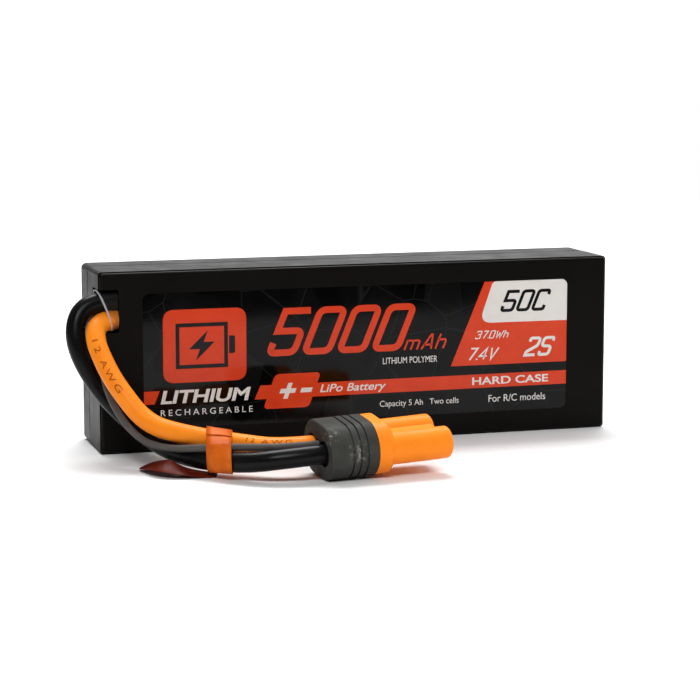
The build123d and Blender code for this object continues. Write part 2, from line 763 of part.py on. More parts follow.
def main():
    os.makedirs("parts", exist_ok=True)
    for name, shape in make_parts().items():
        export_step(shape, f"parts/{name}.step")
        box = shape.bounding_box()
        print(f"{name}: volume {shape.volume:.2f} mm3, lowest {box.min.Z:.2f} mm")


main()
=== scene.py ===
"""Looks of the two-cell battery pack: its leads, film flag, label print, materials, light and camera.

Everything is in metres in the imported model's own frame: +X along the case, -Y out of the label face,
+Z up, with the origin in the middle of the case's underside.
"""

import json
import math

import bmesh
import bpy
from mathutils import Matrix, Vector


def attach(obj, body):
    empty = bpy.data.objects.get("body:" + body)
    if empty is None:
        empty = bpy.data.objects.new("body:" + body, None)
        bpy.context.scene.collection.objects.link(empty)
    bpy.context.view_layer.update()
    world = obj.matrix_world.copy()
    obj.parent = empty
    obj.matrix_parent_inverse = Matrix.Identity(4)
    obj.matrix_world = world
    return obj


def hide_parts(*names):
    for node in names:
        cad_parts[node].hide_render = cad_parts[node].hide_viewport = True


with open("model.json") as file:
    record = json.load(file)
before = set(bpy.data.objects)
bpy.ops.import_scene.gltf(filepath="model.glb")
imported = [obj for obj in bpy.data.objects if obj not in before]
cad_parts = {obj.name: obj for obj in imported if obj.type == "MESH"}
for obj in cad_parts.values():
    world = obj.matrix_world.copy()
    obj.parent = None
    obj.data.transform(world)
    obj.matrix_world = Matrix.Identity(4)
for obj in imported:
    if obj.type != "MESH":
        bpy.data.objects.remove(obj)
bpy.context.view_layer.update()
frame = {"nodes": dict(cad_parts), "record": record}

MM = 0.001

# ---- Camera ----
# Its place, the point that it looks at, its lens and sensor width in millimetres, and its near limit.
CAMERA_PLACE = (-0.17440, -0.57967, 0.11265)
CAMERA_TARGET = (0.000795, 0.0, 0.02246)
LENS = 117.3
SENSOR = 36.0
CLIP_START = 0.01

# ---- Softboxes ----
# Name, place, the point that each faces, width and height, and power in watts.
SOFTBOXES = [
    ("top_softbox", (0.05, 0.42, 0.85), (0.0, 0.0, 0.0), (0.6, 0.4), 10.0),
    ("left_softbox", (-0.9, 0.15, 0.45), (-0.05, 0.0, 0.02), (0.5, 0.6), 0.2),
    ("front_softbox", (-0.25, -0.75, 0.70), (-0.03, -0.03, 0.01), (0.4, 0.25), 5.6),
]

# ---- Surroundings ----
# Strength, and how they brighten from front to back and from left to right: each is a range of
# directions and the range of brightness that it turns into.
WORLD_STRENGTH = 0.9
FRONT_TO_BACK = ((-0.75, 0.25), (0.03, 1.0))
LEFT_TO_RIGHT = ((-0.6, 0.4), (0.1, 1.6))

# ---- Floor ----
# Its edges, its tone, and how far that strays either way.
FLOOR_HALF_WIDTH = 0.9
FLOOR_FRONT = -0.257
FLOOR_BACK = 0.65
FLOOR_WHITE = 0.83
FLOOR_MOTTLE = 0.005

# ---- Leads ----
# Radii, and the points that steer each lead from the notch to the plug; then how finely a lead is
# drawn round it and along it.
POWER_RADIUS = 0.0025
DATA_RADIUS = 0.0009
POSITIVE_ROUTE = [
    (-0.0643, -0.0094, 0.0344),
    (-0.0696, -0.0121, 0.0348),
    (-0.0717, -0.0173, 0.0308),
    (-0.0696, -0.0222, 0.0242),
    (-0.0676, -0.0264, 0.0198),
    (-0.0618, -0.0322, 0.0113),
    (-0.0535, -0.0394, 0.0092),
    (-0.0415, -0.0460, 0.0076),
    (-0.032756, -0.053530, 0.007174),
    (-0.021824, -0.052381, 0.007596),
]
NEGATIVE_ROUTE = [
    (-0.0643, -0.0094, 0.0395),
    (-0.0704, -0.0098, 0.0395),
    (-0.0752, -0.0110, 0.0359),
    (-0.0758, -0.0132, 0.0280),
    (-0.0698, -0.0148, 0.0168),
    (-0.0609, -0.0238, 0.0072),
    (-0.0546, -0.0376, 0.0037),
    (-0.0438, -0.0552, 0.0044),
    (-0.031945, -0.060941, 0.006352),
    (-0.021013, -0.059792, 0.006774),
]
DATA_ROUTE = [
    (-0.0643, -0.0063, 0.03695),
    (-0.0694, -0.0063, 0.03695),
    (-0.0721, -0.0098, 0.0316),
    (-0.0702, -0.0157, 0.0254),
    (-0.0687, -0.0224, 0.0151),
    (-0.0637, -0.0306, 0.0071),
    (-0.0579, -0.0397, 0.0060),
    (-0.0515, -0.0468, 0.0073),
    (-0.0437, -0.0520, 0.0080),
    (-0.032390, -0.057405, 0.008253),
    (-0.021458, -0.056256, 0.008675),
]
LEAD_ROUNDNESS = 8
LEAD_STEPS = 24

# ---- Print on the orange lead ----
LEAD_WORDS = "12 AWG"
# Name, start and length along the lead, height, and how far the print is turned up.
LEAD_PRINTS = [
    ("wire_print_upper", 0.0135, 0.0155, 0.0016, 0.0),
    ("wire_print_lower", 0.0658, 0.0108, 0.0013, 0.72),
]
# Letter spacing, the cuts that let it bend round the lead, and how far it stands off.
LEAD_PRINT_SPACING = 1.35
LEAD_PRINT_CUTS = 3
PRINT_LIFT = 0.03 * MM

# ---- Label ----
# Where its face is, the thickness of one layer of print, the strength of the film's waviness, and
# the depth of type before it is fitted to a layer.
LABEL_FACE = -12.4 * MM
PAPER_THICK = 0.02 * MM
LABEL_RELIEF = 0.1
TEXT_DEPTH = 0.5

# ---- Words on the label ----
# Name, words, box from (x, z) to (x, z) in millimetres, layer, slant, extra weight and spacing.
LABEL_WORDS = [
    ("words_bold", "LITHIUM", (-53.8, 12.4), (-29.9, 15.9), 0, 0.18, 0.03, 1.0),
    ("words_thin", "RECHARGEABLE", (-53.8, 9.3), (-29.4, 10.9), 0, 0.0, 0.0, 1.5),
    ("words_type", "LiPo Battery", (-11.2, 12.85), (7.0, 15.6), 1, 0.25, 0.012, 1.0),
    ("words_cell", "LITHIUM POLYMER", (6.1, 20.2), (21.3, 21.9), 0, 0.0, 0.0, 1.0),
    ("words_rate", "Capacity 5 Ah   Two cells", (5.3, 8.3), (27.4, 10.4), 0, 0.0, 0.0, 1.0),
    ("words_case", "HARD CASE", (31.2, 13.4), (53.0, 15.5), 1, 0.0, 0.02, 1.0),
    ("words_use", "For R/C models", (35.9, 8.6), (52.2, 10.5), 0, 0.0, 0.0, 1.0),
]

# ---- Ratings on the label ----
# Figures, lower left corner, height, gap, stroke and corner radius, all in millimetres, and layer.
RED_FIGURES = [
    ("5000", (-26.1, 23.6), 12.6, 1.2, 1.75, 1.7, 0),
    ("mAh", (11.7, 23.5), 4.4, 0.72, 0.5, 0.6, 0),
]
WHITE_FIGURES = [
    ("2S", (45.6, 20.5), 5.3, 0.42, 0.78, 0.8, 2),
    ("7.4V", (29.3, 20.0), 3.5, 0.45, 0.44, 0.4, 2),
    ("37.0Wh", (31.8, 25.8), 2.2, 0.32, 0.28, 0.3, 2),
]
BLACK_FIGURES = [
    ("50C", (38.7, 32.8), 5.9, 0.52, 0.86, 0.8, 2),
]

# ---- Strokes ----
# How far figures lean, steps in a rounded corner, the most of a run that it takes, the limit on
# sharp mitres, and the battery sign's stroke in millimetres.
LEAN = 0.41
CORNER_STEPS = 8
CORNER_SHARE = 0.48
MITRE_LIMIT = 0.4
BATTERY_SIGN_STROKE = 1.0

# ---- Scuffs on the plug's boot ----
# Where each is and how far it reaches; then how much of that is full, and their tone.
SCUFFS = [
    ((-0.0234, -0.0628, 0.0109), 0.0030),
    ((-0.0165, -0.0647, 0.0078), 0.0034),
]
SCUFF_CORE = 0.3
SCUFF_TONE = (0.36, 0.34, 0.31)

# ---- Sleeve ----
# A point on its slanted rim, the way the rim faces, the width of the band of painted highlight along
# the rim, and how solid the film looks there and elsewhere.
SLEEVE_RIM = (-0.0674, -0.0124, 0.0356)
SLEEVE_RIM_FACING = (1.0, 0.15, 0.33)
SLEEVE_HIGHLIGHT_WIDTH = 0.00025
SLEEVE_HIGHLIGHT_ALPHA = 0.6
SLEEVE_ALPHA = 0.14

# ---- Flag's wrap ----
# Its middle, the heading and tilt of the leads' run through it, its width, the gap that it keeps to
# them, the film's thickness, and where its rows of points lie across it.
FLAG_CENTRE = Vector((-0.0469, -0.0481, 0.0063))
FLAG_HEADING = math.radians(-17.0)
FLAG_TILT = 0.06
FLAG_WIDTH = 0.0063
FLAG_GAP = 0.00025
FILM_THICKNESS = 0.00018
FLAG_ROWS = (-0.5, -0.25, 0.0, 0.25, 0.5)
# Points round the wrap and round a lead, and the shortest run between two points.
LOOP_POINTS = 72
LEAD_POINTS = 40
SHORTEST_RUN = 1e-9
# The lap's points, how many the film takes to climb over itself, and the climb in thicknesses.
LAP_POINTS = 8
LAP_RAMP = 6
LAP_RISE = 1.6

# ---- Flag's loose end ----
# Places along its middle, each with how steeply the edge on the right rises, looking to the tip.
TAIL_STATIONS = [
    (-0.0470, -0.0466, 0.0005, 0.02),
    (-0.0495, -0.0457, 0.0006, 0.05),
    (-0.0543, -0.0459, 0.0014, 0.20),
    (-0.0580, -0.0453, 0.0026, 0.34),
    (-0.0601, -0.0435, 0.0031, 0.40),
    (-0.0614, -0.0391, 0.0024, 0.38),
    (-0.0620, -0.0333, 0.0012, 0.32),
]
# Half its width, how far its edges sag, where its points lie across it, and levels of smoothing.
TAIL_HALF_WIDTH = 0.0028
TAIL_SAG = 0.0003
TAIL_SHARES = (-1.0, -0.5, 0.0, 0.5, 1.0)
TAIL_SMOOTHING = 2


# ---------------------------------------------------------------- camera and lights
def make_camera():
    data = bpy.data.cameras.new("camera")
    data.lens = LENS
    data.sensor_width = SENSOR
    data.clip_start = CLIP_START
    camera = bpy.data.objects.new("camera", data)
    bpy.context.collection.objects.link(camera)
    camera.location = CAMERA_PLACE
    sight = Vector(CAMERA_TARGET) - Vector(CAMERA_PLACE)
    camera.rotation_euler = sight.to_track_quat("-Z", "Y").to_euler()
    bpy.context.scene.camera = camera
    bpy.context.scene.view_settings.view_transform = "Standard"


def make_softbox(name, place, target, size, power):
    data = bpy.data.lights.new(name, "AREA")
    data.shape = "RECTANGLE"
    data.size = size[0]
    data.size_y = size[1]
    data.energy = power
    light = bpy.data.objects.new(name, data)
    bpy.context.collection.objects.link(light)
    light.location = place
    light.rotation_euler = (Vector(target) - Vector(place)).to_track_quat("-Z", "Y").to_euler()


def map_range(tree, source, taken, given):
    """A node's output stretched from the range taken to the range given."""
    node = tree.nodes.new("ShaderNodeMapRange")
    node.inputs["From Min"].default_value = taken[0]
    node.inputs["From Max"].default_value = taken[1]
    node.inputs["To Min"].default_value = given[0]
    node.inputs["To Max"].default_value = given[1]
    tree.links.new(source, node.inputs["Value"])
    return node.outputs[0]


def make_world():
    """White to the camera; bright behind and to the right, dim in front and to the left."""
    world = bpy.data.worlds.new("studio")
    bpy.context.scene.world = world
    world.use_nodes = True
    tree = world.node_tree
    tree.nodes.clear()
    output = tree.nodes.new("ShaderNodeOutputWorld")
    seen = tree.nodes.new("ShaderNodeBackground")
    seen.inputs["Color"].default_value = (1.0, 1.0, 1.0, 1.0)
    seen.inputs["Strength"].default_value = 1.0
    lit = tree.nodes.new("ShaderNodeBackground")
    lit.inputs["Strength"].default_value = WORLD_STRENGTH
    choose = tree.nodes.new("ShaderNodeMixShader")
    path = tree.nodes.new("ShaderNodeLightPath")
    place = tree.nodes.new("ShaderNodeTexCoord")
    split = tree.nodes.new("ShaderNodeSeparateXYZ")
    both = tree.nodes.new("ShaderNodeMath")
    both.operation = "MULTIPLY"
    tree.links.new(place.outputs["Generated"], split.inputs[0])
    tree.links.new(map_range(tree, split.outputs["Y"], *FRONT_TO_BACK), both.inputs[0])
    tree.links.new(map_range(tree, split.outputs["X"], *LEFT_TO_RIGHT), both.inputs[1])
    tree.links.new(both.outputs[0], lit.inputs["Color"])
    tree.links.new(path.outputs["Is Camera Ray"], choose.inputs[0])
    tree.links.new(lit.outputs[0], choose.inputs[1])
    tree.links.new(seen.outputs[0], choose.inputs[2])
    tree.links.new(choose.outputs[0], output.inputs["Surface"])


# ---------------------------------------------------------------- material tools
# The mix node's colour sockets, which share their names with its other kinds.
MIX_FIRST = 6
MIX_SECOND = 7
MIX_RESULT = 2


class Maker:
    """One material's node tree, with short calls for the nodes that the materials share."""

    def __init__(self, name, colour, roughness, **settings):
        self.material = bpy.data.materials.new(name)
        self.material.use_nodes = True
        self.tree = self.material.node_tree
        self.shader = self.tree.nodes["Principled BSDF"]
        self.shader.inputs["Base Color"].default_value = (*colour, 1.0)
        self.shader.inputs["Roughness"].default_value = roughness
        for socket, value in settings.items():
            self.shader.inputs[socket.replace("_", " ")].default_value = value
        self.place = self.tree.nodes.new("ShaderNodeTexCoord").outputs["Object"]

    def link(self, source, target):
        self.tree.links.new(source, target)

    def noise(self, scale, detail, stretch=(1.0, 1.0, 1.0), roughness=0.5):
        mapping = self.tree.nodes.new("ShaderNodeMapping")
        mapping.inputs["Scale"].default_value = stretch
        self.link(self.place, mapping.inputs["Vector"])
        node = self.tree.nodes.new("ShaderNodeTexNoise")
        node.inputs["Scale"].default_value = scale
        node.inputs["Detail"].default_value = detail
        node.inputs["Roughness"].default_value = roughness
        self.link(mapping.outputs[0], node.inputs["Vector"])
        return node.outputs["Fac"]

    def cells(self, scale, feature="F1", output="Distance"):
        node = self.tree.nodes.new("ShaderNodeTexVoronoi")
        node.feature = feature
        node.inputs["Scale"].default_value = scale
        self.link(self.place, node.inputs["Vector"])
        return node.outputs[output]

    def ramp(self, source, *stops):
        """Colours between two stops; each stop is its position and a colour or a grey."""
        node = self.tree.nodes.new("ShaderNodeValToRGB")
        for element, (position, colour) in zip(node.color_ramp.elements, stops):
            element.position = position
            if isinstance(colour, float):
                colour = (colour, colour, colour)
            element.color = (*colour, 1.0)
        self.link(source, node.inputs["Fac"])
        return node.outputs["Color"]

    def mix(self, amount, first, second):
        """Two colours mixed; each value is a socket, a colour or a number."""
        node = self.tree.nodes.new("ShaderNodeMix")
        node.data_type = "RGBA"
        sockets = (node.inputs["Factor"], node.inputs[MIX_FIRST], node.inputs[MIX_SECOND])
        for socket, value in zip(sockets, (amount, first, second)):
            if isinstance(value, bpy.types.NodeSocket):
                self.link(value, socket)
            elif isinstance(value, tuple):
                socket.default_value = (*value, 1.0)
            else:
                socket.default_value = value
        return node.outputs[MIX_RESULT]

    def colour(self, source):
        self.link(source, self.shader.inputs["Base Color"])

    def roughness(self, source, low, high):
        """Roughness that follows a pattern between two values."""
        self.link(self.ramp(source, (0.3, low), (0.7, high)), self.shader.inputs["Roughness"])

    def bump(self, source, strength, distance, before=None):
        """Relief from a pattern, on top of the relief before it, if any."""
        node = self.tree.nodes.new("ShaderNodeBump")
        node.inputs["Strength"].default_value = strength
        node.inputs["Distance"].default_value = distance
        self.link(source, node.inputs["Height"])
        if before is not None:
            self.link(before, node.inputs["Normal"])
        self.link(node.outputs[0], self.shader.inputs["Normal"])
        return node.outputs[0]


# ---------------------------------------------------------------- materials
def case_plastic():
    """Near-black moulded plastic with a fine satin grain and faint handling marks."""
    make = Maker("case_plastic", (0.003, 0.0027, 0.0023), 0.42, Specular_IOR_Level=0.085)
    deep = (0.0022, 0.0018, 0.0014)
    worn = (0.0034, 0.0028, 0.0022)
    make.colour(make.ramp(make.noise(scale=55.0, detail=6.0), (0.35, deep), (0.7, worn)))
    make.roughness(make.noise(scale=140.0, detail=5.0), low=0.36, high=0.48)
    grain = make.bump(make.noise(scale=5200.0, detail=2.0), strength=0.18, distance=0.00004)
    make.bump(make.noise(scale=40.0, detail=2.0), strength=0.08, distance=0.0004, before=grain)
    return make.material


def film_relief(make):
    """The slight waviness that the printed film has over the case."""
    fine = make.bump(make.noise(scale=420.0, detail=3.0), strength=LABEL_RELIEF, distance=0.00002)
    make.bump(make.noise(scale=60.0, detail=2.0), strength=0.05, distance=0.0002, before=fine)


def label_film(name):
    """Glossy black film with faint grey shards and hairlines."""
    make = Maker(name, (0.002, 0.002, 0.0021), 0.08, Specular_IOR_Level=0.145)
    shards = make.ramp(make.cells(scale=95.0, output="Color"), (0.3, 0.0007), (0.85, 0.0042))
    lines = make.ramp(make.cells(scale=70.0, feature="DISTANCE_TO_EDGE"), (0.0, 0.5), (0.014, 0.0))
    make.colour(make.mix(lines, shards, (0.018, 0.018, 0.019)))
    make.roughness(make.noise(scale=90.0, detail=4.0), low=0.05, high=0.11)
    film_relief(make)
    return make.material


def print_ink(name, colour, worn):
    """Ink under the same glossy film, with a faint mottle."""
    make = Maker(name, colour, 0.16, Specular_IOR_Level=0.15)
    make.colour(make.ramp(make.noise(scale=160.0, detail=5.0), (0.35, colour), (0.75, worn)))
    make.roughness(make.noise(scale=90.0, detail=4.0), low=0.06, high=0.13)
    film_relief(make)
    return make.material


def lead_silicone(name, colour, shade, low, high):
    """Soft silicone: even colour with a dusty bloom in places."""
    make = Maker(name, colour, 0.4, Specular_IOR_Level=0.11)
    make.colour(make.ramp(make.noise(scale=120.0, detail=6.0), (0.35, shade), (0.65, colour)))
    make.roughness(make.noise(scale=260.0, detail=5.0), low=low, high=high)
    grain = make.bump(make.noise(scale=3000.0, detail=2.0), strength=0.12, distance=0.00003)
    make.bump(make.noise(scale=160.0, detail=3.0), strength=0.1, distance=0.0001, before=grain)
    return make.material


def clear_sleeve():
    """Clear shrunk film, lightly wrinkled, with a painted highlight along its cut rim: a pale colour
    there in place of the light that the rim catches.
    """
    make = Maker("sleeve", (0.02, 0.02, 0.022), 0.2)
    across = make.tree.nodes.new("ShaderNodeVectorMath")
    across.operation = "DOT_PRODUCT"
    facing = Vector(SLEEVE_RIM_FACING).normalized()
    across.inputs[1].default_value = facing
    make.link(make.place, across.inputs[0])
    rim_end = facing.dot(Vector(SLEEVE_RIM)) + SLEEVE_HIGHLIGHT_WIDTH
    fade = (rim_end, rim_end + SLEEVE_HIGHLIGHT_WIDTH)
    body = map_range(make.tree, across.outputs["Value"], fade, (0.0, 1.0))
    # The pale colour near the rim is a painted highlight; the dark one is the film's own colour.
    make.colour(make.mix(body, (0.6, 0.61, 0.66), (0.02, 0.02, 0.022)))
    see_through = make.ramp(body, (0.0, SLEEVE_HIGHLIGHT_ALPHA), (1.0, SLEEVE_ALPHA))
    make.link(see_through, make.shader.inputs["Alpha"])
    make.roughness(make.noise(scale=500.0, detail=4.0), low=0.15, high=0.3)
    make.bump(make.noise(scale=500.0, detail=3.0, stretch=(0.3, 1.0, 1.0)), strength=0.2, distance=0.0001)
    return make.material


def flag_film(name, deep, bright, alpha):
    """Thin coloured film, partly see-through, with a few creases."""
    make = Maker(name, bright, 0.4, Alpha=alpha, Specular_IOR_Level=0.07)
    make.colour(make.ramp(make.noise(scale=210.0, detail=5.0), (0.3, deep), (0.7, bright)))
    make.roughness(make.noise(scale=600.0, detail=4.0), low=0.34, high=0.5)
    make.bump(make.noise(scale=420.0, detail=4.0), strength=0.25, distance=0.00012)
    return make.material


def boot_rubber():
    """Dark grey rubber, with pale scuffs in two places."""
    make = Maker("boot_rubber", (0.045, 0.046, 0.041), 0.55, Specular_IOR_Level=0.05)
    shade = (0.036, 0.036, 0.032)
    pale = (0.054, 0.054, 0.049)
    tone = make.ramp(make.noise(scale=190.0, detail=6.0), (0.3, shade), (0.7, pale))
    marks = make.ramp(make.noise(scale=900.0, detail=8.0, roughness=0.7), (0.52, 0.0), (0.66, 0.85))
    for centre, reach in SCUFFS:
        near = make.tree.nodes.new("ShaderNodeVectorMath")
        near.operation = "DISTANCE"
        near.inputs[1].default_value = centre
        make.link(make.place, near.inputs[0])
        fade = (SCUFF_CORE * reach, reach)
        strength = map_range(make.tree, near.outputs["Value"], fade, (1.0, 0.0))
        spots = make.mix(strength, (0.0, 0.0, 0.0), marks)
        tone = make.mix(spots, tone, SCUFF_TONE)
    make.colour(tone)
    make.roughness(make.noise(scale=300.0, detail=5.0), low=0.42, high=0.62)
    grain = make.bump(make.noise(scale=2600.0, detail=3.0), strength=0.25, distance=0.00005)
    make.bump(make.noise(scale=420.0, detail=5.0), strength=0.25, distance=0.00018, before=grain)
    return make.material


def plug_plastic():
    """Bright orange moulded plastic, satin, with faint flow marks."""
    colour = (0.97, 0.265, 0.018)
    make = Maker("plug_plastic", colour, 0.38, Specular_IOR_Level=0.08)
    shade = (0.92, 0.235, 0.014)
    make.colour(make.ramp(make.noise(scale=150.0, detail=5.0), (0.3, shade), (0.7, colour)))
    make.roughness(make.noise(scale=220.0, detail=4.0), low=0.32, high=0.48)
    grain = make.bump(make.noise(scale=3400.0, detail=2.0), strength=0.12, distance=0.00003)
    make.bump(make.noise(scale=130.0, detail=2.0), strength=0.06, distance=0.0002, before=grain)
    return make.material


# The darker patches of metals and of plain surfaces, and how far roughness strays either way.
METAL_SHADE = 0.8
DULL_SHADE = 0.72
ROUGHNESS_SPREAD = 0.15


def metal(name, colour, low, high, lined=False):
    """Bare or plated metal, brushed along X if lined."""
    make = Maker(name, colour, low, Metallic=1.0)
    stretch = (0.06, 1.0, 1.0) if lined else (1.0, 1.0, 1.0)
    marks = make.noise(scale=1500.0, detail=5.0, stretch=stretch)
    make.roughness(marks, low=low, high=high)
    make.bump(marks, strength=0.15, distance=0.00004)
    dull = tuple(METAL_SHADE * channel for channel in colour)
    make.colour(make.ramp(make.noise(scale=240.0, detail=5.0), (0.3, dull), (0.7, colour)))
    return make.material


def dull_material(name, colour, roughness, grain, relief):
    """Foam, board, chips and ribbon: a plain moulded or cut surface with its own grain."""
    make = Maker(name, colour, roughness)
    shade = tuple(DULL_SHADE * channel for channel in colour)
    make.colour(make.ramp(make.noise(scale=grain / 4, detail=5.0), (0.3, shade), (0.7, colour)))
    low = roughness * (1.0 - ROUGHNESS_SPREAD)
    high = min(roughness * (1.0 + ROUGHNESS_SPREAD), 1.0)
    make.roughness(make.noise(scale=grain / 2, detail=4.0), low, high)
    make.bump(make.noise(scale=grain, detail=4.0), strength=relief, distance=0.0001)
    return make.material


def make_materials():
    """Every material by name: the record's slots, a darker copy of the flag's film that paints shade on
    its loose end, and the inks.
    """
    silver = (0.74, 0.73, 0.7)
    return {
        "case_plastic": case_plastic(),
        "label_front": label_film("label_front"),
        "label_rear": label_film("label_rear"),
        "cell_pouch": metal("cell_pouch", (0.72, 0.73, 0.75), 0.3, 0.45),
        "foam": dull_material("foam", (0.05, 0.05, 0.05), 0.9, 2600.0, 0.7),
        "tab_metal": metal("tab_metal", silver, 0.28, 0.42, lined=True),
        "board": dull_material("board", (0.02, 0.13, 0.05), 0.4, 1800.0, 0.2),
        "chip_plastic": dull_material("chip_plastic", (0.02, 0.02, 0.02), 0.55, 3000.0, 0.3),
        "capacitor_body": dull_material("capacitor_body", (0.42, 0.3, 0.18), 0.5, 3000.0, 0.2),
        "ribbon": dull_material("ribbon", (0.6, 0.58, 0.52), 0.45, 2200.0, 0.2),
        "tinned_wire": metal("tinned_wire", silver, 0.3, 0.5, lined=True),
        "solder": metal("solder", (0.68, 0.68, 0.68), 0.15, 0.35),
        "lead_orange": lead_silicone(
            "lead_orange", (0.95, 0.275, 0.015), (0.88, 0.22, 0.01), 0.34, 0.5
        ),
        "lead_black": lead_silicone(
            "lead_black", (0.005, 0.005, 0.0052), (0.0028, 0.0028, 0.003), 0.24, 0.38
        ),
        "lead_data": lead_silicone(
            "lead_data", (0.11, 0.1, 0.095), (0.075, 0.068, 0.064), 0.4, 0.55
        ),
        "sleeve": clear_sleeve(),
        "flag_film": flag_film("flag_film", (0.52, 0.083, 0.006), (0.7, 0.148, 0.012), 0.9),
        # A darker copy of the flag's film: painted shade on the loose end's underside.
        "flag_shaded_film": flag_film("flag_shaded_film", (0.07, 0.006, 0.002), (0.16, 0.016, 0.004), 0.93),
        "boot_rubber": boot_rubber(),
        "plug_plastic": plug_plastic(),
        "gold": metal("gold", (0.88, 0.62, 0.22), 0.16, 0.3),
        "ink_red": print_ink("ink_red", (0.62, 0.048, 0.014), (0.67, 0.058, 0.018)),
        "ink_white": print_ink("ink_white", (0.71, 0.685, 0.65), (0.75, 0.725, 0.69)),
        "ink_black": print_ink("ink_black", (0.006, 0.006, 0.006), (0.01, 0.01, 0.01)),
        "lead_print": print_ink("lead_print", (0.36, 0.085, 0.008), (0.42, 0.1, 0.01)),
    }


MATERIALS = make_materials()


def dress_nodes():
    """Gives each CAD node the material of its slot."""
    for entry in frame["record"]["subparts"]:
        node = frame["nodes"][entry["node"]]
        node.data.materials.clear()
        node.data.materials.append(MATERIALS[entry["material_slot"]])


def add_piece(name, data, material):
    piece = bpy.data.objects.new(name, data)
    bpy.context.collection.objects.link(piece)
    data.materials.clear()
    data.materials.append(MATERIALS[material])
    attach(piece, "root")
    return piece


def mesh_from(name, build):
    """A mesh that build fills in a bmesh, with its normals facing out."""
    work = bmesh.new()
    build(work)
    bmesh.ops.recalc_face_normals(work, faces=work.faces)
    mesh = bpy.data.meshes.new(name)
    work.to_mesh(mesh)
    work.free()
    return mesh


def smooth_mesh(name, build):
    """A mesh made as mesh_from makes it, then shaded smooth."""
    mesh = mesh_from(name, build)
    for polygon in mesh.polygons:
        polygon.use_smooth = True
    return mesh


# ---------------------------------------------------------------- leads
def make_lead(name, node, route, radius, slot):
    """A lead as one spline along its route, in place of its CAD node."""
    data = bpy.data.curves.new(name, "CURVE")
    data.dimensions = "3D"
    data.resolution_u = LEAD_STEPS
    data.bevel_depth = radius
    data.bevel_resolution = LEAD_ROUNDNESS
    data.use_fill_caps = True
    spline = data.splines.new("NURBS")
    spline.points.add(len(route) - 1)
    for point, place in zip(spline.points, route):
        point.co = (*place, 1.0)
    spline.order_u = 3
    spline.use_endpoint_u = True
    lead = add_piece(name, data, slot)
    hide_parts(node)
    return lead


def lead_line(lead):
    """Points along a lead's own line, from its exit to its plug."""
    plain = lead.data.copy()
    plain.bevel_depth = 0.0
    probe = bpy.data.objects.new("probe", plain)
    bpy.context.collection.objects.link(probe)
    bpy.context.view_layer.update()
    mesh = bpy.data.meshes.new_from_object(probe)
    points = [vertex.co.copy() for vertex in mesh.vertices]
    bpy.data.objects.remove(probe)
    bpy.data.meshes.remove(mesh)
    bpy.data.curves.remove(plain)
    return points


def walk(line, distance):
    """The place and heading at a distance along a line of points."""
    for start, end in zip(line, line[1:]):
        run = end - start
        if distance <= run.length:
            return start + run.normalized() * distance, run.normalized()
        distance -= run.length
    return line[-1], (line[-1] - line[-2]).normalized()


def text_mesh(words, slant, weight, spacing):
    """Words as a solid mesh in their own flat frame: X along, Y up, Z thickness."""
    data = bpy.data.curves.new("words", "FONT")
    data.body = words
    data.shear = slant
    data.offset = weight
    data.extrude = TEXT_DEPTH
    data.space_character = spacing
    probe = bpy.data.objects.new("words", data)
    bpy.context.collection.objects.link(probe)
    bpy.context.view_layer.update()
    mesh = bpy.data.meshes.new_from_object(probe)
    bpy.data.objects.remove(probe)
    bpy.data.curves.remove(data)
    return mesh


def fit_mesh(mesh, low, high):
    """Scales and moves a mesh's box onto the one from low to high."""
    corners = [Vector(vertex.co) for vertex in mesh.vertices]
    for axis in range(3):
        start = min(corner[axis] for corner in corners)
        end = max(corner[axis] for corner in corners)
        scale = (high[axis] - low[axis]) / (end - start)
        for vertex, corner in zip(mesh.vertices, corners):
            vertex.co[axis] = low[axis] + (corner[axis] - start) * scale


def print_on_lead(name, line, start, length, height, lift):
    """Small print along a power lead, on the side towards the camera, turned up by the lift."""
    facing = (Vector(CAMERA_PLACE).normalized() + Vector((0.0, 0.0, lift))).normalized()
    mesh = text_mesh(LEAD_WORDS, slant=0.0, weight=0.0, spacing=LEAD_PRINT_SPACING)
    work = bmesh.new()
    work.from_mesh(mesh)
    bmesh.ops.triangulate(work, faces=work.faces)
    bmesh.ops.subdivide_edges(work, edges=work.edges, cuts=LEAD_PRINT_CUTS, use_grid_fill=True)
    work.to_mesh(mesh)
    work.free()
    fit_mesh(mesh, (0.0, -height / 2, 0.0), (length, height / 2, PAPER_THICK))
    for vertex in mesh.vertices:
        along, across, above = vertex.co
        place, heading = walk(line, start + along)
        outward = (facing - heading * facing.dot(heading)).normalized()
        sideways = outward.cross(heading)
        angle = across / POWER_RADIUS
        direction = outward * math.cos(angle) + sideways * math.sin(angle)
        vertex.co = place + direction * (POWER_RADIUS + PRINT_LIFT + above)
    return add_piece(name, mesh, "lead_print")


# ---------------------------------------------------------------- flag
def cut_line(line, origin, normal):
    """Where a line of points crosses a plane, and its heading there."""
    for start, end in zip(line, line[1:]):
        before = (start - origin).dot(normal)
        after = (end - origin).dot(normal)
        if before <= 0.0 < after:
            return start.lerp(end, before / (before - after)), (end - start).normalized()
    raise ValueError("the line doesn't cross the plane")


def hull_loop(points):
    """The outer loop round flat points, in order."""
    ordered = sorted(points)
    loop = []
    for sweep in (ordered, reversed(ordered)):
        half = []
        for point in sweep:
            while len(half) > 1:
                ax, ay = half[-2]
                bx, by = half[-1]
                if (bx - ax) * (point[1] - ay) - (by - ay) * (point[0] - ax) > 0.0:
                    break
                half.pop()
            half.append(point)
        loop += half[:-1]
    return loop


def even_loop(loop, count):
    """The same loop with evenly spaced points, starting at its highest."""
    top = max(range(len(loop)), key=lambda i: loop[i][1])
    closed = [Vector(point) for point in loop[top:] + loop[:top] + [loop[top]]]
    total = sum((end - start).length for start, end in zip(closed, closed[1:]))
    spaced = []
    for step in range(count):
        distance = total * step / count
        for start, end in zip(closed, closed[1:]):
            run = (end - start).length
            if distance <= run:
                spaced.append(start.lerp(end, distance / max(run, SHORTEST_RUN)))
                break
            distance -= run
    return spaced


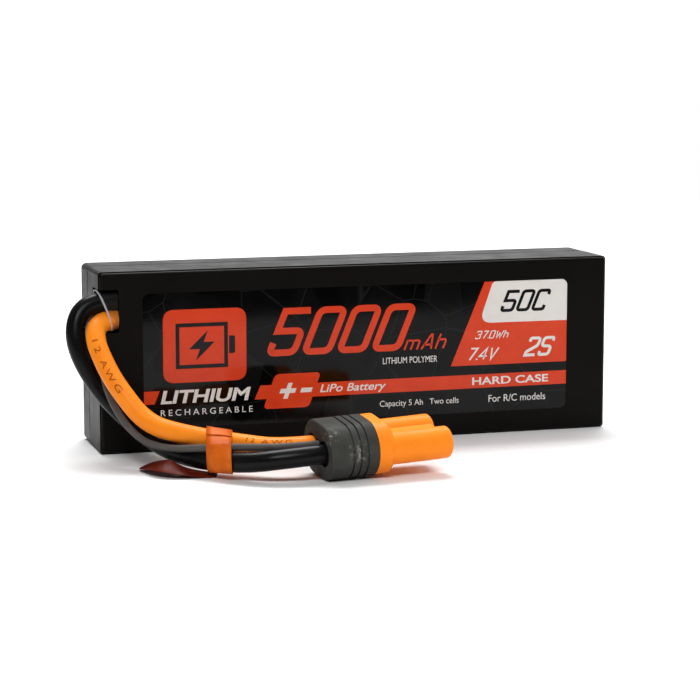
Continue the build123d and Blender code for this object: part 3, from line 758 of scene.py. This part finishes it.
def lead_outline(line, radius, origin, along):
    """Where a lead's skin, and the gap over it, crosses a plane: the outline of a slanted cut."""
    place, heading = cut_line(line, origin, along)
    slope = heading.dot(along)
    long_way = (heading - along * slope).normalized()
    short_way = along.cross(long_way)
    reach = radius + FLAG_GAP
    outline = []
    for step in range(LEAD_POINTS):
        angle = math.tau * step / LEAD_POINTS
        outline.append(
            place - origin
            + long_way * (math.cos(angle) * reach / slope)
            + short_way * (math.sin(angle) * reach)
        )
    return outline


def wrap_rows(leads):
    """Closed rows of points drawn tight round the leads, one for each place across the flag."""
    along = Vector((math.cos(FLAG_HEADING), math.sin(FLAG_HEADING), FLAG_TILT)).normalized()
    side = Vector((-math.sin(FLAG_HEADING), math.cos(FLAG_HEADING), 0.0))
    rise = along.cross(side)
    rows = []
    for share in FLAG_ROWS:
        origin = FLAG_CENTRE + along * (FLAG_WIDTH * share)
        dots = []
        for line, radius in leads:
            for dot in lead_outline(line, radius, origin, along):
                dots.append((dot.dot(side), dot.dot(rise)))
        loop = even_loop(hull_loop(dots), LOOP_POINTS)
        rows.append([origin + side * point[0] + rise * point[1] for point in loop])
    return rows


def make_wrap(leads):
    """The flag's film drawn round the leads and lapped over itself at the top."""
    rows = wrap_rows(leads)
    turns = LOOP_POINTS + LAP_POINTS

    def film_layer(work, layer):
        """One face of the film, as rows of corners; the lap ramps up over the film below it."""
        grid = []
        for row in rows:
            middle = sum(row, Vector()) / LOOP_POINTS
            corners = []
            for step in range(turns + 1):
                lap = min(max(0, step - LOOP_POINTS + LAP_RAMP) / LAP_RAMP, 1.0)
                point = row[step % LOOP_POINTS]
                outward = (point - middle).normalized()
                lift = FILM_THICKNESS * (layer + LAP_RISE * lap)
                corners.append(work.verts.new(point + outward * lift))
            grid.append(corners)
        return grid

    def build(work):
        inner = film_layer(work, 0.0)
        outer = film_layer(work, 1.0)
        for grid in (inner, outer):
            for row, after in zip(grid, grid[1:]):
                for k in range(turns):
                    work.faces.new((row[k], row[k + 1], after[k + 1], after[k]))
        for edge in (0, -1):
            low = inner[edge]
            high = outer[edge]
            for k in range(turns):
                work.faces.new((low[k], low[k + 1], high[k + 1], high[k]))
        for end in (0, turns):
            for k in range(len(rows) - 1):
                work.faces.new((inner[k][end], inner[k + 1][end], outer[k + 1][end], outer[k][end]))

    return add_piece("flag_wrap", smooth_mesh("flag_wrap", build), "flag_film")


def tail_rows():
    """Rows of places across the flag's loose end, each on its lower and its upper face."""
    middles = [Vector(station[:3]) for station in TAIL_STATIONS]
    last = len(middles) - 1
    rows = []
    for k, (middle, station) in enumerate(zip(middles, TAIL_STATIONS)):
        ahead = middles[min(k + 1, last)] - middles[max(k - 1, 0)]
        level = Vector((ahead.y, -ahead.x, 0.0)).normalized()
        across = (level + Vector((0.0, 0.0, station[3]))).normalized()
        upward = ahead.cross(across).normalized()
        if upward.z < 0.0:
            upward = -upward
        row = []
        for share in TAIL_SHARES:
            sag = -TAIL_SAG * (share * share)
            base = middle + across * (share * TAIL_HALF_WIDTH) + upward * sag
            row.append((base, base + upward * FILM_THICKNESS))
        rows.append(row)
    return rows


def make_tail():
    """The flag's loose end, trailing to the left and curling over at its tip."""

    def build(work):
        grid = [[[work.verts.new(place) for place in pair] for pair in row] for row in tail_rows()]
        for row, after in zip(grid, grid[1:]):
            for k in range(len(row) - 1):
                for face in (0, 1):
                    work.faces.new((row[k][face], row[k + 1][face], after[k + 1][face], after[k][face]))
            for edge in (0, -1):
                work.faces.new((row[edge][0], after[edge][0], after[edge][1], row[edge][1]))
        for row in (grid[0], grid[-1]):
            for low, high in zip(row, row[1:]):
                work.faces.new((low[0], high[0], high[1], low[1]))

    # The loose end takes the darker copy of the flag's film: painted shade, not a film of another colour.
    tail = add_piece("flag_tail", smooth_mesh("flag_tail", build), "flag_shaded_film")
    smooth = tail.modifiers.new("smooth", "SUBSURF")
    smooth.levels = TAIL_SMOOTHING
    smooth.render_levels = TAIL_SMOOTHING
    return tail


# ---------------------------------------------------------------- label print
def round_corners(corners):
    """A line through corners of (x, z, radius), each rounded as far as its runs allow."""
    count = len(corners)
    points = []
    for k, (x, z, radius) in enumerate(corners):
        corner = Vector((x, z))
        if radius <= 0.0:
            points.append(corner)
            continue
        before = Vector(corners[k - 1][:2]) - corner
        after = Vector(corners[(k + 1) % count][:2]) - corner
        reach = min(radius, CORNER_SHARE * before.length, CORNER_SHARE * after.length)
        start = corner + before.normalized() * reach
        end = corner + after.normalized() * reach
        for step in range(CORNER_STEPS + 1):
            share = step / CORNER_STEPS
            points.append(start.lerp(corner, share).lerp(corner.lerp(end, share), share))
    return points


def add_plate(work, outline, layer):
    """A flat shape on the label, one sheet thick; the outline is in millimetres."""
    near = LABEL_FACE - layer * PAPER_THICK
    far = near - PAPER_THICK
    back = [work.verts.new((point[0] * MM, near, point[1] * MM)) for point in outline]
    front = [work.verts.new((point[0] * MM, far, point[1] * MM)) for point in outline]
    work.faces.new(back)
    work.faces.new(front)
    count = len(outline)
    for k in range(count):
        after = (k + 1) % count
        work.faces.new((back[k], back[after], front[after], front[k]))


def add_strip(work, lefts, rights, closed, layer):
    """A printed stroke between two rows of points."""
    near = LABEL_FACE - layer * PAPER_THICK
    far = near - PAPER_THICK
    rows = []
    for left, right in zip(lefts, rights):
        rows.append(
            [
                work.verts.new((point[0] * MM, depth, point[1] * MM))
                for point, depth in ((left, near), (right, near), (right, far), (left, far))
            ]
        )
    pairs = list(zip(rows, rows[1:]))
    if closed:
        pairs.append((rows[-1], rows[0]))
    for row, after in pairs:
        for k in range(len(row)):
            work.faces.new((row[k - 1], row[k], after[k], after[k - 1]))
    if not closed:
        work.faces.new(rows[0])
        work.faces.new(rows[-1])


def stroke_sides(points, width, closed):
    """Mitred offsets of a stroke's middle line, half its width to each side."""
    lefts = []
    rights = []
    count = len(points)
    for k, point in enumerate(points):
        before = points[k - 1] if k > 0 or closed else None
        after = points[(k + 1) % count] if k < count - 1 or closed else None
        first = (point - before).normalized() if before is not None else None
        second = (after - point).normalized() if after is not None else None
        first = first or second
        second = second or first
        normal = Vector((-(first.y + second.y), first.x + second.x)).normalized()
        plain = Vector((-first.y, first.x))
        reach = width / 2 / max(normal.dot(plain), MITRE_LIMIT)
        lefts.append(point + normal * reach)
        rights.append(point - normal * reach)
    return lefts, rights


# Squared letter shapes as strokes on a unit box: the letter's width as a share of its height, then
# each stroke's points and whether it closes.
GLYPHS = {
    "0": (0.66, [([(0, 0), (1, 0), (1, 1), (0, 1)], True)]),
    "2": (0.66, [([(0, 0.8), (0, 1), (1, 1), (1, 0.56), (0, 0.2), (0, 0), (1.04, 0)], False)]),
    "3": (0.66, [
        ([(0, 0.84), (0, 1), (1, 1), (1, 0.53), (0.35, 0.53)], False),
        ([(1, 0.44), (1, 0), (0, 0), (0, 0.16)], False),
    ]),
    "4": (0.66, [([(0.75, 0.02), (0.75, 1), (0, 0.3), (1.1, 0.3)], False)]),
    "5": (0.66, [([(1.04, 1), (0, 1), (0, 0.52), (1, 0.52), (1, 0), (0, 0), (0, 0.24)], False)]),
    "7": (0.66, [([(0, 1), (1, 1), (0.4, 0)], False)]),
    "A": (0.74, [
        ([(0, 0), (0.5, 1), (0.62, 1), (1.0, 0)], False),
        ([(0.14, 0.3), (0.9, 0.3)], False),
    ]),
    "C": (0.66, [([(1, 0.78), (1, 1), (0, 1), (0, 0), (1, 0), (1, 0.22)], False)]),
    "S": (0.66, [
        ([(1, 0.8), (1, 1), (0, 1), (0, 0.52), (1, 0.48), (1, 0), (0, 0), (0, 0.2)], False),
    ]),
    "V": (0.66, [([(0, 1), (0.42, 0), (1, 1)], False)]),
    "W": (0.9, [([(0, 1), (0.2, 0), (0.52, 0.75), (0.72, 0), (1.05, 1)], False)]),
    "h": (0.6, [
        ([(0, 0), (0, 1)], False),
        ([(0, 0.62), (1, 0.62), (1, 0)], False),
    ]),
    "m": (0.9, [
        ([(0, 0), (0, 0.66)], False),
        ([(0, 0.62), (0.5, 0.62), (0.5, 0)], False),
        ([(0.5, 0.62), (1, 0.62), (1, 0)], False),
    ]),
    ".": (0.0, [([(0, 0), (0.001, 0.1)], False)]),
}
# Corners left sharp: the letter, and which point of its stroke.
SHARP_CORNERS = {
    ("5", 1), ("5", 2), ("7", 1), ("4", 1), ("4", 2), ("2", 5), ("V", 1), ("W", 1), ("W", 3),
}


def add_glyphs(work, words, start, height, gap, stroke, corner, layer):
    """Squared italic letters from a lower left corner, all sizes in millimetres."""
    x, z = start
    for letter in words:
        share, strokes = GLYPHS[letter]
        wide = max(share * height - stroke, 0.0)
        for points, closed in strokes:
            places = []
            for across, up in points:
                rise = stroke / 2 + up * (height - stroke)
                places.append((x + stroke / 2 + across * wide + LEAN * rise, z + rise))
            last = len(places) - 1
            corners = []
            for k, (px, pz) in enumerate(places):
                inside = closed or 0 < k < last
                sharp = (letter, k) in SHARP_CORNERS
                corners.append((px, pz, corner if inside and not sharp else 0.0))
            outline = round_corners(corners)
            lefts, rights = stroke_sides(outline, stroke, closed)
            add_strip(work, lefts, rights, closed, layer)
        x += share * height + gap


def add_words(name, words, low, high, layer, slant, weight, spacing):
    """Plain white type fitted to a box on the label; low and high are (x, z) in millimetres."""
    mesh = text_mesh(words, slant, weight, spacing)
    near = LABEL_FACE - layer * PAPER_THICK
    for vertex in mesh.vertices:
        vertex.co = (vertex.co.x, -vertex.co.z, vertex.co.y)
    fit_mesh(
        mesh,
        (low[0] * MM, near - PAPER_THICK, low[1] * MM),
        (high[0] * MM, near, high[1] * MM),
    )
    add_piece(name, mesh, "ink_white")


def make_red_print():
    """The stripe, the tab at its left, the slanted panel and plate, the square badge and the capacity."""

    def build(work):
        stripe = [(-28.9, 12.45, 0), (58.15, 12.6, 0), (58.15, 16.3, 0), (-27.3, 16.1, 0)]
        tab = [(-58.15, 12.5, 0), (-55.4, 12.5, 0), (-54.0, 15.9, 0), (-58.15, 15.9, 0)]
        panel = [
            (25.1, 18.75, 0), (58.15, 18.75, 0), (58.15, 30.2, 0), (40.0, 41.15, 0), (34.5, 41.15, 0),
        ]
        badge = [(-53.0, 17.8, 3.0), (-31.0, 17.8, 3.0), (-31.0, 36.8, 3.0), (-53.0, 36.8, 3.0)]
        plate = [(-26.6, 9.8, 1.4), (-14.2, 9.8, 1.4), (-10.9, 18.9, 1.4), (-23.3, 18.9, 1.4)]
        for corners in (stripe, tab, panel, badge):
            add_plate(work, round_corners(corners), 0)
        add_plate(work, round_corners(plate), 1)
        for figures in RED_FIGURES:
            add_glyphs(work, *figures)

    add_piece("print_red", mesh_from("print_red", build), "ink_red")


def make_white_print():
    """The white panel, the plus and minus signs on the slanted plate, and the smaller ratings."""

    def build(work):
        panel = [(33.0, 30.1, 3.6), (58.15, 30.0, 0), (58.15, 41.15, 1.6), (36.9, 41.15, 1.0)]
        add_plate(work, round_corners(panel), 1)
        for figures in WHITE_FIGURES:
            add_glyphs(work, *figures)
        plus = [
            (-21.2, 12.3), (-20.0, 12.3), (-19.5, 13.75), (-18.0, 13.75), (-17.6, 14.95), (-19.1, 14.95),
            (-18.6, 16.4), (-19.8, 16.4), (-20.3, 14.95), (-21.8, 14.95), (-22.2, 13.75), (-20.7, 13.75),
        ]
        minus = [(-16.6, 13.75), (-13.6, 13.75), (-13.2, 14.95), (-16.2, 14.95)]
        add_plate(work, plus, 2)
        add_plate(work, minus, 2)

    add_piece("print_white", mesh_from("print_white", build), "ink_white")


def make_black_print():
    """The rating on the white panel, and a plain battery sign on the square badge."""

    def build(work):
        for figures in BLACK_FIGURES:
            add_glyphs(work, *figures)
        battery = [(-49.2, 21.9), (-36.4, 21.9), (-36.4, 32.7), (-49.2, 32.7)]
        middle_line = [Vector(corner) for corner in battery]
        lefts, rights = stroke_sides(middle_line, BATTERY_SIGN_STROKE, closed=True)
        add_strip(work, lefts, rights, closed=True, layer=1)
        nub = [(-35.6, 25.0, 0), (-34.0, 25.0, 0.5), (-34.0, 29.6, 0.5), (-35.6, 29.6, 0)]
        bolt = [
            (-41.2, 31.2, 0), (-46.2, 26.4, 0), (-43.3, 26.4, 0),
            (-44.4, 23.4, 0), (-39.4, 28.2, 0), (-42.3, 28.2, 0),
        ]
        for corners in (nub, bolt):
            add_plate(work, round_corners(corners), 1)

    add_piece("print_black", mesh_from("print_black", build), "ink_black")


# ---------------------------------------------------------------- floor
def floor_white():
    """Plain white paint with a faint mottle."""
    make = Maker("floor_white", (FLOOR_WHITE, FLOOR_WHITE, FLOOR_WHITE), 0.7, Specular_IOR_Level=0.2)
    shade = FLOOR_WHITE - FLOOR_MOTTLE
    pale = FLOOR_WHITE + FLOOR_MOTTLE
    make.colour(make.ramp(make.noise(scale=30.0, detail=3.0), (0.3, shade), (0.7, pale)))
    return make.material


def make_floor():
    """A white table top whose front edge lies short of the camera."""

    def build(work):
        corners = [
            (-FLOOR_HALF_WIDTH, FLOOR_FRONT, 0.0), (FLOOR_HALF_WIDTH, FLOOR_FRONT, 0.0),
            (FLOOR_HALF_WIDTH, FLOOR_BACK, 0.0), (-FLOOR_HALF_WIDTH, FLOOR_BACK, 0.0),
        ]
        work.faces.new([work.verts.new(corner) for corner in corners])

    mesh = mesh_from("floor", build)
    floor = bpy.data.objects.new("floor", mesh)
    bpy.context.collection.objects.link(floor)
    mesh.materials.append(floor_white())


# ---------------------------------------------------------------- the scene
make_camera()
dress_nodes()

positive = make_lead("wire_positive", "lead_positive", POSITIVE_ROUTE, POWER_RADIUS, "lead_orange")
negative = make_lead("wire_negative", "lead_negative", NEGATIVE_ROUTE, POWER_RADIUS, "lead_black")
data_wire = make_lead("wire_data", "lead_data", DATA_ROUTE, DATA_RADIUS, "lead_data")
positive_line = lead_line(positive)
negative_line = lead_line(negative)
data_line = lead_line(data_wire)

upper_print, lower_print = [
    print_on_lead(name, positive_line, *sizes) for name, *sizes in LEAD_PRINTS
]
flag = make_wrap(
    ((positive_line, POWER_RADIUS), (negative_line, POWER_RADIUS), (data_line, DATA_RADIUS))
)
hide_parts("cable_flag")
tail = make_tail()

make_red_print()
make_white_print()
make_black_print()
for sizes in LABEL_WORDS:
    add_words(*sizes)
make_floor()
for softbox in SOFTBOXES:
    make_softbox(*softbox)
make_world()
